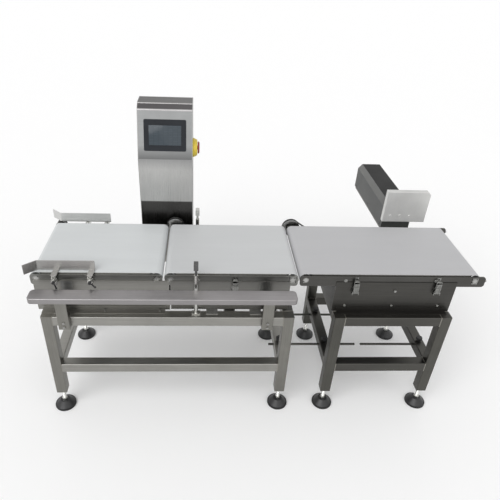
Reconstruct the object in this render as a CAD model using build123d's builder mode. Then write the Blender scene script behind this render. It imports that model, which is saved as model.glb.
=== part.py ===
from build123d import *
from math import cos, pi, radians, sin
import os

# Checkweigher with three belt conveyors on two welded stands, a control cabinet
# and a pneumatic reject pusher. Millimetres, +Z up, goods travel along +X.

# Conveyor line
infeed_length = 570
weigh_length = 593
outfeed_length = 827
belt_gap = 6
belt_rise = 194
belt_thickness = 2
belt_width = 428
frame_width = 450
side_plate = 8
side_height = 52
side_drop = 6
end_inset = 2
outfeed_overrun = 20
running_gap = 0.3
bore_gap = 0.05

# Rollers, bearings and take-ups
roller_radius = 24.7
roller_end_gap = 5
shaft_radius = 8
bearing_radius = 13
bearing_flange = 17
bearing_flange_thickness = 2.5
takeup_length = 26
takeup_height = 31.6
takeup_travel = 6
tension_screw = 3
tension_head = 5
shaft_recess = 0.5

# Drives
motor_pulley_radius = 21.7
pulley_width = 18
pulley_flange = 1.5
pulley_offset = 13.5
drive_radius = {"infeed": 21.7, "weigh": 41.7, "outfeed": 41.7}
tooth_pitch = 9.72
tooth_depth = 2
timing_belt_thickness = 3
timing_belt_width = 16
motor_radius = 39
motor_length = 130
motor_plate = 86
motor_plate_thickness = 8
motor_shaft = 7
motor_drop = 103
motor_reach = {"infeed": 66, "weigh": 66, "outfeed": 190}

# Stands
tube = 50
tube_wall = 2
tube_corner = 4
stand_height = 591
leg_bottom = 108
stretcher_height = 275
stand_overhang = 10
left_stand_insets = (32, 13)
right_stand_insets = (172, 107)
weigh_beam_inset = 293
foot_radius = 50
foot_stud = 8
foot_hub = 22

# Load cell heights
cell_size = 40
adaptor_thickness = 8
lift_thickness = 6
platform_thickness = 4
platform_insets = (184, 79)

# Bases under the belts
sheet = 3
infeed_base_inset = 12
weigh_base_insets = (27, 34)
base_joint = 6
outfeed_base_insets = (166, 107)
base_lap = 24
weigh_float = 4
angle_leg = 30
angle_rise = 22
seat_bar = 25
plug_size = 48
plug_gap = 0.2
plug_insets = {"infeed": 154, "weigh": 446}
shaft_clearance = 3

# Front bar
bar_length = 1134
bar_shift = 13
bar_depth = 70
bar_height = 25
bar_rise = 151
bar_lap = 5
post_width = 50
post_depth = 25
post_inset = 138

# Rods that link the stands
rod_radius = 6
rod_spacing = 236
link_laps = (77, 188)
stub_inset = 218
stub_reach = 10
knob_radius = 15

# Control cabinet
cabinet_overlap = 146.5
cabinet_width = 261
cabinet_lap = 20
cabinet_depth = 200
arm_plate = 6
cabinet_wall = 2.5
column_cut_rise = 272
column_height = 516
panel_length = 228
panel_tilt = 18
brow_length = 40
brow_tilt = 50
bend_radius = 7
screen_width = 200
screen_height = 146
screen_rise = 39
screen_proud = 5
glass_width = 154
glass_height = 92
cover_recess = 18
door_thickness = 3
door_gap = 0.5
hinge_radius = 6
hinge_pin = 2.5
hinge_height = 50
lower_hinge = 103
upper_hinge = 137
lock_rise = 363
stop_rise = 33
stop_setback = 80
arm_size = 40

# Reject pusher
guard_inset = 514
guard_width = 150
guard_gap = 30
guard_length = 532
guard_drop = 35
guard_height = 143
guard_chamfer = 22
guard_wall = 2
pusher_inset = 503
pusher_width = 222
pusher_standoff = 10
pusher_lift = 20
rod_lift = 55
pusher_height = 170
pusher_flange = 28
pusher_wall = 2.5
cylinder_radius = 25
cylinder_bore = 20
barrel_length = 360
rod_end = 8
guide_rod = 6
guide_rod_spacing = 100
bracket_plate = 6
bracket_drop = 100
shelf_inset = 20
gusset_inset = 160

# Infeed guides
guide_height = 47
guide_lift = 3
guide_thickness = 3
guide_span = (34, 278)
guide_flare = 61
guide_flare_angle = 40
front_guide_inset = 14
rear_guide_gap = 3
guide_arm = 6
front_guide_posts = (112, 264)
rear_guide_posts = (160, 255)

# Photo-eye posts on the stand's long rails
eye_inset_along = 140
eye_inset = 33
eye_tube = 9
eye_rod = 5.5
eye_rod_drop = 90
eye_tube_lift = 15
eye_lift = 73

# Toggle latches
weigh_latch = 312
outfeed_latches = (255, 630)
latch_width = 30
latch_drop = 85
latch_wire = 2
latch_standoff = 11
keeper_drop = 23
lever_length = 50
latch_pin = 2.5

# Places worked out from the sizes above
infeed_start = 0
weigh_start = infeed_start + infeed_length + belt_gap
outfeed_start = weigh_start + weigh_length + belt_gap
line_end = outfeed_start + outfeed_length
conveyors = {
    "infeed": (infeed_start, infeed_length, 0),
    "weigh": (weigh_start, weigh_length, 0),
    "outfeed": (outfeed_start, outfeed_length, outfeed_overrun),
}
left_stand = (left_stand_insets[0], outfeed_start - left_stand_insets[1])
right_stand = (outfeed_start + right_stand_insets[0], line_end - right_stand_insets[1])
weigh_beam = weigh_start + weigh_beam_inset
platform_span = (weigh_start + platform_insets[0], weigh_start + weigh_length - platform_insets[1])
weigh_base_start = weigh_start + weigh_base_insets[0]
bases = {
    "infeed": (infeed_base_inset, weigh_base_start - base_joint),
    "weigh": (weigh_base_start, weigh_start + weigh_length - weigh_base_insets[1]),
    "outfeed": (outfeed_start + outfeed_base_insets[0], line_end - outfeed_base_insets[1]),
}
plug_places = {name: conveyors[name][0] + inset for name, inset in plug_insets.items()}
bar_centre = sum(left_stand) / 2 - bar_shift
post_places = (post_inset, outfeed_start - post_inset)
link_span = (left_stand[1] - link_laps[0], right_stand[0] + link_laps[1])
stub_span = (right_stand[0] + stub_inset, right_stand[1] + stub_reach)
cabinet_left = weigh_start - cabinet_overlap
guard_left = outfeed_start + guard_inset
pusher_left = outfeed_start + pusher_inset
eye_place = weigh_start + eye_inset_along
latch_places = [weigh_start + weigh_latch] + [outfeed_start + place for place in outfeed_latches]
half_frame = frame_width / 2
belt_height = stand_height + belt_rise
inner_face = half_frame - side_plate
belt_inner = roller_radius + running_gap
belt_outer = belt_inner + belt_thickness
axis_height = belt_height - belt_outer
side_top = belt_height - side_drop
side_bottom = side_top - side_height
bed_top = belt_height - belt_thickness
cell_bottom = stand_height + adaptor_thickness
cell_top = cell_bottom + cell_size
stand_width = frame_width + 2 * (stand_overhang + tube)
rail_line = stand_width / 2 - tube / 2
rail_face = stand_width / 2
base_top = side_bottom + base_lap
base_face = half_frame + sheet
motor_height = axis_height - motor_drop
bar_top = stand_height + bar_rise
bar_back = rail_face - bar_lap
cabinet_front = rail_face - cabinet_lap
cabinet_back = cabinet_front + cabinet_depth
cabinet_base = stand_height + arm_plate
column_cut = cabinet_base + column_cut_rise
head_bottom = cabinet_base + column_height
stop_height = head_bottom + stop_rise
stop_depth = cabinet_front + stop_setback
pusher_front = base_face + pusher_standoff
pusher_bottom = belt_height + pusher_lift
guard_near = pusher_front + guard_gap
guard_far = guard_near + guard_length
guard_bottom = belt_height - guard_drop
rod_height = belt_height + rod_lift
front_guide = belt_width / 2 - front_guide_inset
rear_guide = half_frame + rear_guide_gap
eye_line = rail_face - eye_inset
eye_tube_top = belt_height + eye_tube_lift
eye_top = belt_height + eye_lift
latch_pivot = belt_height - latch_drop
latch_keeper = belt_height - keeper_drop
pulley_line = half_frame + pulley_offset
flare_reach = guide_flare * cos(radians(guide_flare_angle)) - guide_span[0]
line_left = -(flare_reach + guide_thickness / 2)
line_right = line_end + outfeed_overrun + tension_head
line_front = -(bar_back + bar_depth)

# The row origin lies on the floor under the middle of the whole machine's box,
# so every plane below shifts line coordinates (from the infeed end of the belt,
# and from the belts' centre line) by these two values.
x_shift = -(line_left + line_right) / 2
y_shift = -(line_front + guard_far) / 2


def level(x, y, z):
    """Horizontal plane: sketch x is +X, sketch y is +Y, extrudes upwards."""
    return Plane(origin=(x + x_shift, y + y_shift, z))


def facing(x, y, z):
    """Upright plane seen from the front: sketch y is +Z, extrudes towards -Y."""
    return Plane(origin=(x + x_shift, y + y_shift, z), x_dir=(1, 0, 0), z_dir=(0, -1, 0))


def endwise(x, y, z):
    """Cross-section plane: sketch x is +Y, sketch y is +Z, extrudes towards +X."""
    return Plane(origin=(x + x_shift, y + y_shift, z), x_dir=(0, 1, 0), z_dir=(1, 0, 0))


def write(piece, label):
    piece.part.label = label
    export_step(piece.part, f"parts/{label}.step")


os.makedirs("parts", exist_ok=True)


# Welded stands of square tube: closed legs, and rails that butt between them
def leg_places(stand):
    near, far = stand[0] + tube / 2, stand[1] - tube / 2
    return [(x, y) for x in (near, far) for y in (-rail_line, rail_line)]


all_legs = leg_places(left_stand) + leg_places(right_stand)
with BuildPart() as stand_legs:
    with BuildSketch(level(0, 0, leg_bottom)):
        with Locations(*all_legs):
            RectangleRounded(tube, tube, tube_corner)
    extrude(amount=stand_height - leg_bottom)
    with BuildSketch(level(0, 0, leg_bottom + 2 * tube_wall)):
        with Locations(*all_legs):
            Rectangle(tube - 2 * tube_wall, tube - 2 * tube_wall)
    extrude(amount=stand_height - leg_bottom - 3 * tube_wall, mode=Mode.SUBTRACT)
    with BuildSketch(level(0, 0, leg_bottom)):
        with Locations(*all_legs):
            Circle(foot_stud + bore_gap)
    extrude(amount=2 * tube_wall, mode=Mode.SUBTRACT)
write(stand_legs, "stand_legs")

rail_height = stand_height - tube / 2
cross_run = stand_width - 2 * tube
with BuildPart() as stand_rails:
    for stand in (left_stand, right_stand):
        long_lines = [
            (y, z) for y in (-rail_line, rail_line) for z in (rail_height, stretcher_height)
        ]
        with BuildSketch(endwise(stand[0] + tube, 0, 0)):
            with Locations(*long_lines):
                RectangleRounded(tube, tube, tube_corner)
                Rectangle(tube - 2 * tube_wall, tube - 2 * tube_wall, mode=Mode.SUBTRACT)
        extrude(amount=stand[1] - stand[0] - 2 * tube)
        cross_lines = [
            (x, z)
            for x in (stand[0] + tube / 2, stand[1] - tube / 2)
            for z in (rail_height, stretcher_height)
        ]
        with BuildSketch(facing(0, cross_run / 2, 0)):
            with Locations(*cross_lines):
                RectangleRounded(tube, tube, tube_corner)
                Rectangle(tube - 2 * tube_wall, tube - 2 * tube_wall, mode=Mode.SUBTRACT)
        extrude(amount=cross_run)
    with BuildSketch(endwise(link_span[0], 0, stretcher_height)):
        with Locations((-rod_spacing / 2, 0), (rod_spacing / 2, 0)):
            Circle(rod_radius)
    extrude(amount=right_stand[1] - link_span[0], mode=Mode.SUBTRACT)
write(stand_rails, "stand_rails")

# Levelling feet: a pad, a threaded stud and two nuts under each leg
pad_edge = 10
pad_top = 36
nut_height = 13
nut_radius = 14
for number, place in enumerate(all_legs, start=1):
    with BuildPart() as levelling_foot:
        with BuildSketch(level(*place, 0)):
            Circle(foot_radius)
        extrude(amount=pad_edge)
        with BuildSketch(level(*place, pad_edge)):
            Circle(foot_radius - 4)
        extrude(amount=pad_top - pad_edge, taper=42)
        for start, end in ((pad_top, pad_top + nut_height), (leg_bottom - nut_height, leg_bottom)):
            with BuildSketch(level(*place, start)):
                RegularPolygon(nut_radius, 6)
            extrude(amount=end - start)
        with BuildSketch(level(*place, pad_top)):
            Circle(foot_stud)
        extrude(amount=leg_bottom - pad_top + nut_height)
    write(levelling_foot, f"levelling_foot_{number}")

# Folded bar in front of the left stand, on two flat posts
with BuildPart() as front_bar:
    bar_line = -(bar_back + bar_depth / 2)
    with BuildSketch(level(bar_centre, bar_line, bar_top - bar_height)):
        RectangleRounded(bar_length, bar_depth, 18)
    extrude(amount=bar_height)
    fillet(front_bar.faces().sort_by(Axis.Z)[-1].edges(), 4)
    with BuildSketch(level(bar_centre, bar_line, bar_top - bar_height)):
        RectangleRounded(bar_length - 2 * sheet, bar_depth - 2 * sheet, 15)
    extrude(amount=bar_height - sheet, mode=Mode.SUBTRACT)
write(front_bar, "front_bar")

post_line = -(stand_width / 2 + post_depth / 2)
with BuildPart() as front_bar_posts:
    with BuildSketch(level(0, 0, stand_height - tube)):
        with Locations(*[(x, post_line) for x in post_places]):
            RectangleRounded(post_width, post_depth, 3)
            Rectangle(post_width - 2 * tube_wall, post_depth - 2 * tube_wall, mode=Mode.SUBTRACT)
    extrude(amount=bar_top - sheet - stand_height + tube)
write(front_bar_posts, "front_bar_posts")

# Round rods through the cross stretchers, locked by hand knobs
with BuildPart() as link_rods:
    for start, end in (link_span, stub_span):
        with BuildSketch(endwise(start, 0, stretcher_height)):
            with Locations((-rod_spacing / 2, 0), (rod_spacing / 2, 0)):
                Circle(rod_radius)
        extrude(amount=end - start)
write(link_rods, "link_rods")

knob_lines = [left_stand[1] - tube / 2, right_stand[0] + tube / 2, right_stand[1] - tube / 2]
knob_places = [(x, y) for x in knob_lines for y in (-rod_spacing / 2, rod_spacing / 2)]
stretcher_top = stretcher_height + tube / 2
with BuildPart() as rod_clamps:
    with BuildSketch(level(0, 0, stretcher_top)):
        with Locations(*knob_places):
            Circle(8)
    extrude(amount=8)
    with BuildSketch(level(0, 0, stretcher_top + 8)):
        with Locations(*knob_places):
            Circle(knob_radius)
            with PolarLocations(knob_radius, 6):
                Circle(3, mode=Mode.SUBTRACT)
    extrude(amount=14)
write(rod_clamps, "rod_clamps")


# Sheet bases: flat front and rear sheets, end sheets, seat bars under the belts
def build_base(name):
    start, end = bases[name]
    length = end - start
    middle = (start + end) / 2
    bottom = stand_height + weigh_float if name == "weigh" else stand_height
    height = base_top - bottom
    belt_start = conveyors[name][0]
    drive_axis = belt_start + belt_outer
    motor_axis = drive_axis + motor_reach[name]
    notch = drive_axis + shaft_radius + shaft_clearance - start
    with BuildPart() as base:
        with BuildSketch(facing(middle, -half_frame, bottom + height / 2)):
            Rectangle(length, height)
            if name in plug_places:
                with Locations((plug_places[name] - middle, height / 2 - plug_size / 2 - 4)):
                    RectangleRounded(plug_size, plug_size, 3, mode=Mode.SUBTRACT)
        extrude(amount=sheet)
        with BuildSketch(facing(middle, base_face, bottom + height / 2)):
            Rectangle(length, height)
            if notch > 0:
                with Locations((-length / 2 + notch / 2, height / 2 - 9)):
                    Rectangle(notch, 18, mode=Mode.SUBTRACT)
            with Locations((motor_axis - middle, motor_height - bottom - height / 2)):
                Circle(motor_shaft + shaft_clearance, mode=Mode.SUBTRACT)
        extrude(amount=sheet)
        for x in (start, end - sheet):
            with BuildSketch(endwise(x, 0, (bottom + side_bottom) / 2)):
                Rectangle(frame_width, side_bottom - bottom)
            extrude(amount=sheet)
        seats = [(start + length * share, side_bottom - seat_bar / 2) for share in (0.3, 0.8)]
        with BuildSketch(facing(0, half_frame, 0)):
            with Locations(*seats):
                RectangleRounded(seat_bar, seat_bar, 2)
                Rectangle(seat_bar - 4, seat_bar - 4, mode=Mode.SUBTRACT)
        extrude(amount=frame_width)
        if name == "weigh":
            with BuildSketch(level(sum(platform_span) / 2, 0, cell_top + lift_thickness)):
                Rectangle(platform_span[1] - platform_span[0], frame_width)
            extrude(amount=platform_thickness)
        else:
            for side in (-1, 1):
                with BuildSketch(endwise(start + 20, side * base_face, bottom)) as angle:
                    with BuildLine():
                        Polyline(
                            (0, 0), (side * angle_leg, 0), (side * angle_leg, sheet),
                            (side * sheet, sheet), (side * sheet, angle_rise), (0, angle_rise),
                            close=True,
                        )
                    make_face()
                extrude(amount=length - 40)
    return base


for name in bases:
    write(build_base(name), f"{name}_base")

# Black square plugs that close the cut-outs in the front sheets
with BuildPart() as blanking_plugs:
    plug_height = base_top - plug_size / 2 - 4
    with BuildSketch(facing(0, -half_frame, plug_height)):
        with Locations(*[(x, 0) for x in plug_places.values()]):
            RectangleRounded(plug_size - plug_gap, plug_size - plug_gap, 3)
    extrude(amount=sheet - 1)
write(blanking_plugs, "blanking_plugs")


# Belt frames: two side plates with bearing holes and take-up slots, and spacers
def build_side_plates(name):
    start, length, overrun = conveyors[name]
    plate_start = start + end_inset
    plate_end = start + length - end_inset + (overrun + end_inset if overrun else 0)
    drive_axis = start + belt_outer
    tail_axis = start + length - belt_outer
    middle = (plate_start + plate_end) / 2
    mid_height = (side_top + side_bottom) / 2
    spacers = [(start + length * share, axis_height) for share in (0.25, 0.5, 0.75)]
    with BuildPart() as plates:
        for line in (-inner_face, half_frame):
            with BuildSketch(facing(middle, line, mid_height)):
                RectangleRounded(plate_end - plate_start, side_height, 12)
                with Locations((drive_axis - middle, axis_height - mid_height)):
                    Circle(bearing_radius, mode=Mode.SUBTRACT)
                with Locations((tail_axis - middle, axis_height - mid_height)):
                    Rectangle(takeup_length + takeup_travel, takeup_height + 0.4, mode=Mode.SUBTRACT)
            extrude(amount=side_plate)
        with BuildSketch(endwise(tail_axis, 0, axis_height)):
            with Locations((-inner_face - side_plate / 2, 0), (inner_face + side_plate / 2, 0)):
                Circle(tension_screw)
        extrude(amount=plate_end - tail_axis, mode=Mode.SUBTRACT)
        with BuildSketch(facing(0, inner_face, 0)):
            with Locations(*spacers):
                Circle(11)
                Circle(8, mode=Mode.SUBTRACT)
        extrude(amount=2 * inner_face)
    return plates


def build_belt(name):
    start, length, overrun = conveyors[name]
    with BuildPart() as belt:
        with BuildSketch(facing(start + length / 2, belt_width / 2, axis_height)):
            SlotCenterToCenter(length - 2 * belt_outer, 2 * belt_outer)
            SlotCenterToCenter(length - 2 * belt_outer, 2 * belt_inner, mode=Mode.SUBTRACT)
        extrude(amount=belt_width)
    return belt


for name in conveyors:
    write(build_side_plates(name), f"{name}_side_plates")
    write(build_belt(name), f"{name}_belt")

# Slider beds: shallow channels that carry the top run of each belt
bed_depth = 22
with BuildPart() as slider_beds:
    for start, length, overrun in conveyors.values():
        bed_length = length - 4 * belt_outer
        with BuildSketch(facing(start + length / 2, inner_face, bed_top - bed_depth / 2)):
            Rectangle(bed_length, bed_depth)
            with Locations((0, -sheet / 2)):
                Rectangle(bed_length - 2 * sheet, bed_depth - sheet, mode=Mode.SUBTRACT)
        extrude(amount=2 * inner_face)
write(slider_beds, "slider_beds")


# Toothed pulley on a plane facing the front: rim with teeth, and two flanges
def build_pulley(x, z, radius, bore):
    line = pulley_line + pulley_width
    teeth = round(2 * pi * radius / tooth_pitch)
    with BuildPart() as pulley:
        with BuildSketch(facing(x, line, z)):
            Circle(radius)
            with PolarLocations(radius, teeth):
                Rectangle(2 * tooth_depth, radius * 0.1, mode=Mode.SUBTRACT)
        extrude(amount=pulley_width)
        for face_line in (line + pulley_flange, pulley_line):
            with BuildSketch(facing(x, face_line, z)):
                Circle(radius + timing_belt_thickness + 1)
            extrude(amount=pulley_flange)
        with BuildSketch(facing(x, line + pulley_flange, z)):
            Circle(bore)
        extrude(amount=pulley_width + 2 * pulley_flange, mode=Mode.SUBTRACT)
    return pulley


# Rollers turn in the side plates; the drive rollers carry a pulley at the rear
def build_roller(x, name=None):
    half_face = inner_face - roller_end_gap
    front = half_frame - shaft_recess
    rear = pulley_line + pulley_width + 2 * pulley_flange if name else front
    with BuildPart() as roller:
        with BuildSketch(facing(x, half_face, axis_height)):
            Circle(roller_radius)
        extrude(amount=2 * half_face)
        chamfer(roller.edges().filter_by(GeomType.CIRCLE), 1)
        with BuildSketch(facing(x, rear, axis_height)):
            Circle(shaft_radius)
        extrude(amount=rear + front)
        if name:
            add(build_pulley(x, axis_height, drive_radius[name], shaft_radius))
    return roller


def build_motor_shaft(name):
    x = conveyors[name][0] + belt_outer + motor_reach[name]
    rear = pulley_line + pulley_width + 2 * pulley_flange
    with BuildPart() as shaft:
        with BuildSketch(facing(x, rear, motor_height)):
            Circle(motor_shaft)
        extrude(amount=rear - half_frame + motor_plate_thickness + 20)
        add(build_pulley(x, motor_height, motor_pulley_radius, motor_shaft))
    return shaft


for name, (start, length, overrun) in conveyors.items():
    write(build_roller(start + belt_outer, name), f"{name}_drive_roller")
    write(build_roller(start + length - belt_outer), f"{name}_tail_roller")
    write(build_motor_shaft(name), f"{name}_motor_pulley")

# Gear motors inside the bases, flanged to the rear sheets
with BuildPart() as drive_motors:
    for name, (start, length, overrun) in conveyors.items():
        x = start + belt_outer + motor_reach[name]
        with BuildSketch(facing(x, half_frame, motor_height)):
            RectangleRounded(motor_plate, motor_plate, 6)
        extrude(amount=motor_plate_thickness)
        with BuildSketch(facing(x, half_frame - motor_plate_thickness, motor_height)):
            Circle(motor_radius)
        extrude(amount=motor_length)
        with BuildSketch(facing(x, half_frame - motor_length + 30, motor_height)):
            with Locations((motor_radius, 0)):
                RectangleRounded(36, 40, 4)
        extrude(amount=56)
        with BuildSketch(facing(x, half_frame, motor_height)):
            Circle(motor_shaft + bore_gap)
        extrude(amount=motor_plate_thickness + 24, mode=Mode.SUBTRACT)
write(drive_motors, "drive_motors")

# Timing belts, from each motor up to its drive roller
with BuildPart() as timing_belts:
    belt_line = pulley_line + pulley_width / 2 + timing_belt_width / 2
    for name, (start, length, overrun) in conveyors.items():
        top = (start + belt_outer, axis_height)
        low = (start + belt_outer + motor_reach[name], motor_height)
        for grow, mode in ((timing_belt_thickness, Mode.ADD), (0, Mode.SUBTRACT)):
            with BuildSketch(facing(0, belt_line, 0)):
                with Locations(top):
                    Circle(drive_radius[name] + running_gap + grow)
                with Locations(low):
                    Circle(motor_pulley_radius + running_gap + grow)
                make_hull()
            extrude(amount=timing_belt_width, mode=mode)
write(timing_belts, "timing_belts")

# Flanged bearings at every shaft end; the tail ones sit in sliding take-up blocks
drive_axes = [(start + belt_outer, axis_height) for start, length, overrun in conveyors.values()]
tail_axes = [
    (start + length - belt_outer, axis_height) for start, length, overrun in conveyors.values()
]
with BuildPart() as roller_bearings:
    for side in (-1, 1):
        with BuildSketch(facing(0, side * inner_face, 0)):
            with Locations(*drive_axes):
                Circle(bearing_radius)
            with Locations(*tail_axes):
                Rectangle(takeup_length, takeup_height)
        extrude(amount=-side * side_plate)
        with BuildSketch(facing(0, side * inner_face, 0)):
            with Locations(*(drive_axes + tail_axes)):
                Circle(bearing_flange)
        extrude(amount=side * bearing_flange_thickness)
    with BuildSketch(facing(0, half_frame, 0)):
        with Locations(*(drive_axes + tail_axes)):
            Circle(shaft_radius + bore_gap)
    extrude(amount=frame_width, mode=Mode.SUBTRACT)
write(roller_bearings, "roller_bearings")

# Tension screws behind the take-up blocks, and the bolts of the bases and stands
bolt_radius = 6
bolt_head = 4
flange_bolts = (308, infeed_length - 16)
face_bolts = [(221, 31), (441, 31), (659, 31), (441, 113)]
post_bolts = [(x, z) for x in post_places for z in (rail_height - 12, rail_height + 12)]
with BuildPart() as frame_bolts:
    for (start, length, overrun), (x, z) in zip(conveyors.values(), tail_axes):
        plate_end = start + length + (overrun if overrun else -end_inset)
        block_end = x + takeup_length / 2
        for side in (-1, 1):
            line = side * (inner_face + side_plate / 2)
            with BuildSketch(endwise(block_end, line, z)):
                Circle(tension_screw)
            extrude(amount=plate_end - block_end)
            with BuildSketch(endwise(plate_end, line, z)):
                RegularPolygon(5, 6)
            extrude(amount=tension_head)
    flange_line = base_face + angle_leg / 2
    with BuildSketch(level(0, 0, stand_height + sheet)):
        with Locations(*[(x, y) for x in flange_bolts for y in (-flange_line, flange_line)]):
            RegularPolygon(bolt_radius, 6)
    extrude(amount=bolt_head)
    with BuildSketch(facing(outfeed_start, -base_face, stand_height)):
        with Locations(*face_bolts):
            Circle(bolt_radius)
    extrude(amount=bolt_head)
    with BuildSketch(facing(0, -(stand_width / 2 + post_depth), 0)):
        with Locations(*post_bolts):
            RegularPolygon(bolt_radius, 6)
    extrude(amount=bolt_head)
write(frame_bolts, "frame_bolts")

# Load cell on its cross beam, under the floor of the weigh base, and overload stops
cell_length = 150
adaptor_length = 45
stop_insets = (212, 410)
stop_places = [weigh_start + inset for inset in stop_insets]
cell_slot = (34, 24)
stop_width = 52
stop_gap = 0.5
stop_depth_under = 38
stop_line = half_frame + stop_depth_under / 2 - 1
cell_start = weigh_beam - adaptor_length / 2
with BuildPart() as load_cell:
    with BuildSketch(level(weigh_beam, 0, stand_height)):
        Rectangle(adaptor_length, cell_size + 20)
    extrude(amount=adaptor_thickness)
    with BuildSketch(facing(cell_start + cell_length / 2, cell_size / 2, cell_bottom + cell_size / 2)):
        Rectangle(cell_length, cell_size)
        SlotCenterToCenter(*cell_slot, mode=Mode.SUBTRACT)
    extrude(amount=cell_size)
    with BuildSketch(level(cell_start + cell_length - adaptor_length / 2, 0, cell_top)):
        Rectangle(adaptor_length, cell_size + 20)
    extrude(amount=lift_thickness)
    with BuildSketch(level(0, 0, stand_height)):
        with Locations(*[(x, side * stop_line) for x in stop_places for side in (-1, 1)]):
            Rectangle(stop_width, stop_depth_under)
    extrude(amount=weigh_float - stop_gap)
write(load_cell, "load_cell")

# Cabinet: two cheeks, a folded front wrap, and a recessed cover below the column
panel_angle = radians(panel_tilt)
brow_angle = radians(brow_tilt)
panel_top = (
    cabinet_front + panel_length * sin(panel_angle),
    head_bottom + panel_length * cos(panel_angle),
)
brow_top = (
    panel_top[0] + brow_length * sin(brow_angle),
    panel_top[1] + brow_length * cos(brow_angle),
)
cabinet_top = brow_top[1]
cabinet_right = cabinet_left + cabinet_width
cabinet_middle = cabinet_left + cabinet_width / 2
front_line = [
    (cabinet_front, head_bottom),
    panel_top,
    brow_top,
    (cabinet_back, cabinet_top),
]
hinge_x = cabinet_left - hinge_radius - door_gap
hinge_y = cabinet_back + door_gap + door_thickness / 2
hinge_heights = [cabinet_base + lower_hinge, head_bottom + upper_hinge]
knuckle = hinge_height / 3
stop_strip = 12
head_outline = [(cabinet_front, cabinet_base), *front_line, (cabinet_back, cabinet_base)]
with BuildPart() as cabinet_cheeks:
    for x in (cabinet_left, cabinet_right - cabinet_wall):
        with BuildSketch(endwise(x, 0, 0)):
            with BuildLine():
                Polyline(*head_outline, close=True)
            make_face()
        extrude(amount=cabinet_wall)
    for z in hinge_heights:
        with BuildSketch(level(0, 0, z - hinge_height / 2)):
            with Locations((hinge_x, hinge_y)):
                Circle(hinge_radius)
            with Locations((cabinet_left - cabinet_wall / 2, hinge_y - 16)):
                Rectangle(cabinet_wall, 32)
        extrude(amount=hinge_height)
        with BuildSketch(level(0, 0, z - knuckle / 2)):
            with Locations((hinge_x, hinge_y)):
                Rectangle(4 * hinge_radius, 2 * hinge_radius)
        extrude(amount=knuckle, mode=Mode.SUBTRACT)
        with BuildSketch(level(0, 0, z - knuckle / 2)):
            with Locations((hinge_x, hinge_y)):
                Circle(hinge_pin)
        extrude(amount=knuckle)
write(cabinet_cheeks, "cabinet_cheeks")

screen_centre = screen_rise + screen_height / 2
screen_plane = Plane(
    origin=(
        cabinet_middle + x_shift,
        cabinet_front + screen_centre * sin(panel_angle) + y_shift,
        head_bottom + screen_centre * cos(panel_angle),
    ),
    x_dir=(1, 0, 0),
    z_dir=(0, -cos(panel_angle), sin(panel_angle)),
)
back_box = (screen_width - 20, screen_height - 20)
back_box_depth = 40
inner_width = cabinet_width - 2 * cabinet_wall
with BuildPart() as cabinet_wrap:
    with BuildSketch(endwise(cabinet_left + cabinet_wall, 0, 0)):
        with BuildLine():
            Polyline(*head_outline, close=True)
        make_face()
        offset(amount=-cabinet_wall, mode=Mode.SUBTRACT)
        with Locations((cabinet_back - cabinet_wall / 2, (cabinet_base + cabinet_top) / 2)):
            Rectangle(cabinet_wall, cabinet_top - cabinet_base, mode=Mode.SUBTRACT)
        with Locations((cabinet_front + cabinet_wall / 2, (cabinet_base + column_cut) / 2)):
            Rectangle(cabinet_wall, column_cut - cabinet_base, mode=Mode.SUBTRACT)
        with Locations((cabinet_front + cover_recess + cabinet_wall / 2, (cabinet_base + column_cut) / 2)):
            Rectangle(cabinet_wall, column_cut - cabinet_base)
        with Locations((cabinet_front + (cover_recess + cabinet_wall) / 2, column_cut + cabinet_wall / 2)):
            Rectangle(cover_recess + cabinet_wall, cabinet_wall)
    extrude(amount=inner_width)
    with BuildSketch(screen_plane):
        Rectangle(back_box[0] + 1, back_box[1] + 1)
    extrude(amount=3 * cabinet_wall, both=True, mode=Mode.SUBTRACT)
    strip_inset = cabinet_wall + stop_strip / 2
    with BuildSketch(facing(0, cabinet_back, (cabinet_base + cabinet_top) / 2)):
        with Locations((cabinet_left + strip_inset, 0), (cabinet_right - strip_inset, 0)):
            Rectangle(stop_strip, cabinet_top - cabinet_base - 6 * cabinet_wall)
    extrude(amount=cabinet_wall)
write(cabinet_wrap, "cabinet_wrap")

with BuildPart() as touch_screen:
    with BuildSketch(screen_plane):
        RectangleRounded(screen_width, screen_height, 6)
    extrude(amount=screen_proud)
    fillet(touch_screen.faces().sort_by(SortBy.AREA)[-2:].sort_by(Axis.Z)[-1].edges(), 1.5)
    with BuildSketch(screen_plane.offset(screen_proud)):
        Rectangle(glass_width, glass_height)
    extrude(amount=-1, mode=Mode.SUBTRACT)
    with BuildSketch(screen_plane):
        Rectangle(*back_box)
    extrude(amount=-back_box_depth)
write(touch_screen, "touch_screen")

# Rear door on two pinned hinges, with a quarter-turn lock
lock_x = cabinet_right - 32
lock_z = cabinet_base + lock_rise
lock_shaft = 6
lock_head = 12
cam_thickness = 3
door_face = cabinet_back + door_gap
with BuildPart() as cabinet_rear_door:
    door_height = cabinet_top - cabinet_base - 2 * cabinet_wall
    with BuildSketch(facing(cabinet_middle, door_face + door_thickness, (cabinet_base + cabinet_top) / 2)):
        RectangleRounded(cabinet_width - 1, door_height, 4)
    extrude(amount=door_thickness)
    for z in hinge_heights:
        with BuildSketch(level(0, 0, z - knuckle / 2 + door_gap / 2)):
            with Locations((hinge_x, hinge_y)):
                Circle(hinge_radius)
            with Locations(((hinge_x + cabinet_left + 2) / 2, hinge_y)):
                Rectangle(cabinet_left + 2 - hinge_x, door_thickness)
            with Locations((hinge_x, hinge_y)):
                Circle(hinge_pin + bore_gap, mode=Mode.SUBTRACT)
        extrude(amount=knuckle - door_gap)
    with BuildSketch(facing(lock_x, door_face + door_thickness, lock_z)):
        Circle(lock_shaft + bore_gap)
    extrude(amount=door_thickness, mode=Mode.SUBTRACT)
write(cabinet_rear_door, "cabinet_rear_door")

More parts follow.
